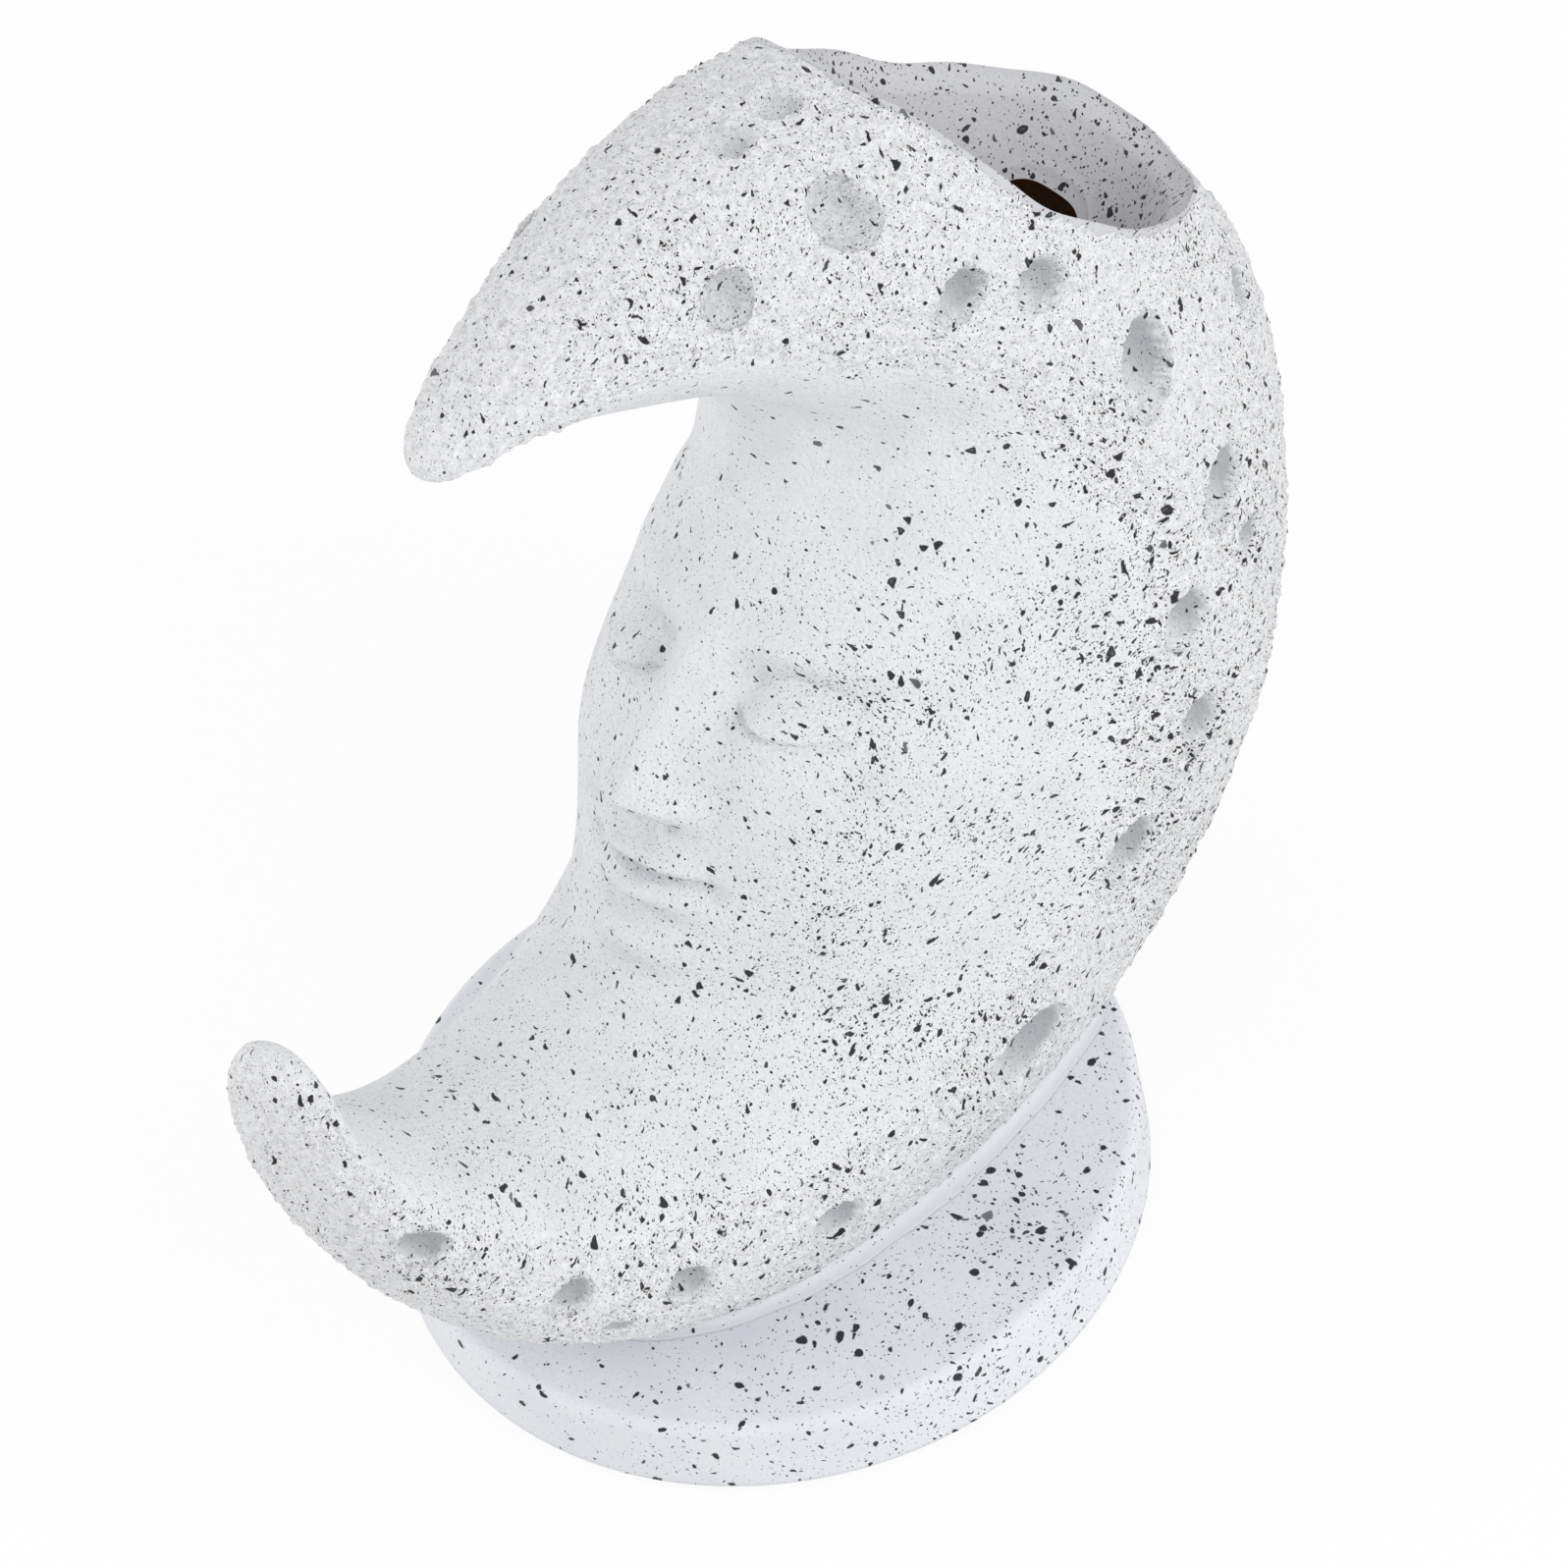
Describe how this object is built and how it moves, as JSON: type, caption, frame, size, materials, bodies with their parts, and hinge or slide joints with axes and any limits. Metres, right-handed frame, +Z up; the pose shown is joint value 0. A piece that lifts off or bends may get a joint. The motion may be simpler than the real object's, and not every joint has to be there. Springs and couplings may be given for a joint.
{
  "type": "face vase",
  "caption": "Hollow crescent moon vase with a sleeping face in its hollow side, leaning back on a round base, open at the top of its back for stems.",
  "frame": {"origin": "centre of the felt's underside, on the surface that the vase stands on", "axes": "+Z up, the face looks along -Y, X across the face; the moon is built the same on both sides of X = 0 but for its craters"},
  "size_m": [0.14, 0.2479, 0.2427],
  "materials": {
    "moon_casting": "matt white, gritty and flicked with dark paint",
    "neck_casting": "matt white, smooth, flicked with dark paint",
    "liner_clay": "unglazed brown clay",
    "bead_filler": "smooth painted filler",
    "base_casting": "matt white, smooth, flicked with dark paint",
    "dowel_steel": "plain",
    "felt": "felt"
  },
  "bodies": {
    "root": {"moon_shell": "moon_casting", "mouth_sleeve": "neck_casting", "water_liner": "liner_clay", "joint_bead": "bead_filler", "base_plinth": "base_casting", "dowel_front": "dowel_steel", "dowel_rear": "dowel_steel", "base_felt": "felt"}
  },
  "joints": []
}
